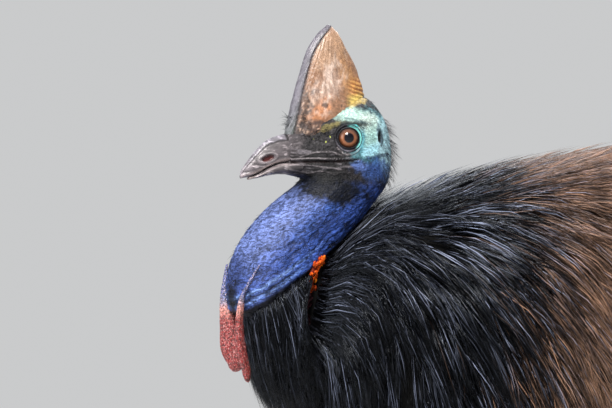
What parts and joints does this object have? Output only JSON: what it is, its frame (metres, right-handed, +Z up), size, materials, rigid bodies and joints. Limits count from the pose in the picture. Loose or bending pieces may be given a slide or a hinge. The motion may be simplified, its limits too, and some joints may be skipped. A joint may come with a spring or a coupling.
{
  "type": "southern cassowary",
  "caption": "Large flightless bird standing still, with a tall helmet, hooked bill, bare bulging neck, two hanging wattles, drooping plumage and three-toed scaled feet.",
  "frame": {"origin": "on the floor, under the middle of the bird's box", "axes": "the bird faces -Y, its left side is at +X, and +Z is up"},
  "size_m": [0.4528, 0.9348, 1.1716],
  "materials": {
    "head_skin": "bare teal, blue and black wrinkled skin with sparse bristles",
    "neck_skin": "bare cobalt and violet-blue wrinkled skin, with an orange-red patch at the side of its base",
    "wattle": "granular pinkish-red bare skin",
    "casque_horn": "fibrous brown horn with a dull sheen",
    "bill_horn": "dark charcoal-brown horn",
    "eye": "wet orange-brown iris with a dark pupil",
    "plumage": "long glossy black hair-like feathers",
    "leg_scale": "grey-brown scales",
    "claw_horn": "dark horn"
  },
  "bodies": {
    "root": {"head": "head_skin", "casque": "casque_horn", "bill_upper": "bill_horn", "bill_lower": "bill_horn", "eye_left": "eye", "eye_right": "eye", "ear_left": "head_skin", "ear_right": "head_skin", "neck_upper": "neck_skin", "neck_lower": "neck_skin", "wattle_left": "wattle", "wattle_right": "wattle", "torso": "plumage", "wing_left": "plumage", "wing_right": "plumage", "thigh_left": "plumage", "thigh_right": "plumage", "shank_left": "leg_scale", "shank_right": "leg_scale", "tarsus_left": "leg_scale", "tarsus_right": "leg_scale", "toe_middle_left": "leg_scale", "toe_middle_right": "leg_scale", "toe_inner_left": "leg_scale", "toe_inner_right": "leg_scale", "toe_outer_left": "leg_scale", "toe_outer_right": "leg_scale", "claw_middle_left": "claw_horn", "claw_middle_right": "claw_horn", "claw_inner_left": "claw_horn", "claw_inner_right": "claw_horn", "claw_outer_left": "claw_horn", "claw_outer_right": "claw_horn"}
  },
  "joints": []
}
